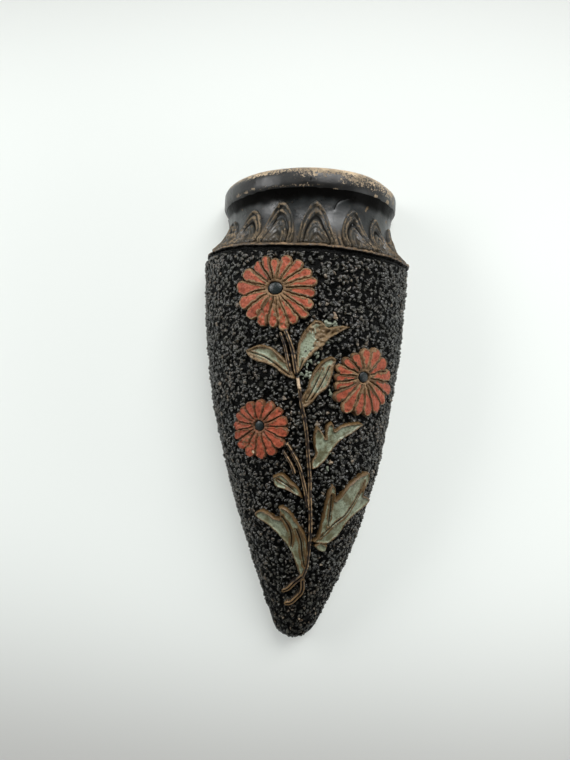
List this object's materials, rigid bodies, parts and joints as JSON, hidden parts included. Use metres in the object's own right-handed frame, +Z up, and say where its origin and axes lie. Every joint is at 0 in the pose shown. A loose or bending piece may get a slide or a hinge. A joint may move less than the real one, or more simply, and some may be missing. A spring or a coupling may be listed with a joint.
{
  "type": "hanging wall vase",
  "caption": "Half-round clay wall vase: pebbled black cone with a flat back, arched collar, rolled rim and a relief spray of red flowers.",
  "frame": {"origin": "middle of the hanging hole, on the flat back face that rests against the wall", "axes": "+Z up towards the rim, +X right as seen from the front, +Y into the wall; the front faces -Y"},
  "size_m": [0.0934, 0.0524, 0.204],
  "materials": {
    "black_glaze": "gloss over pebbled clay",
    "back_clay": "satin",
    "collar_glaze": "satin",
    "bead_glaze": "satin, worn",
    "rim_glaze": "satin, worn to tan clay on top",
    "arch_glaze": "satin",
    "red_glaze": "matte",
    "eye_glaze": "satin",
    "brown_glaze": "satin",
    "sage_glaze": "matte"
  },
  "bodies": {
    "root": {"front_shell": "black_glaze", "back_slab": "back_clay", "shoulder_collar": "collar_glaze", "ledge_bead": "bead_glaze", "rolled_rim": "rim_glaze", "collar_arch_1": "arch_glaze", "collar_arch_2": "arch_glaze", "collar_arch_3": "arch_glaze", "collar_arch_4": "arch_glaze", "collar_arch_5": "arch_glaze", "collar_arch_6": "arch_glaze", "collar_arch_7": "arch_glaze", "upper_flower": "red_glaze", "right_flower": "red_glaze", "left_flower": "red_glaze", "upper_flower_eye": "eye_glaze", "right_flower_eye": "eye_glaze", "left_flower_eye": "eye_glaze", "main_stem": "brown_glaze", "upper_flower_stalks": "brown_glaze", "left_flower_stalks": "brown_glaze", "root_curls": "brown_glaze", "upper_left_leaf": "sage_glaze", "upper_right_leaf": "sage_glaze", "middle_right_leaf": "sage_glaze", "side_right_leaf": "sage_glaze", "lower_left_small_leaf": "sage_glaze", "lower_left_large_leaf": "sage_glaze", "lower_right_large_leaf": "sage_glaze", "lower_right_small_leaf": "sage_glaze"}
  },
  "joints": []
}
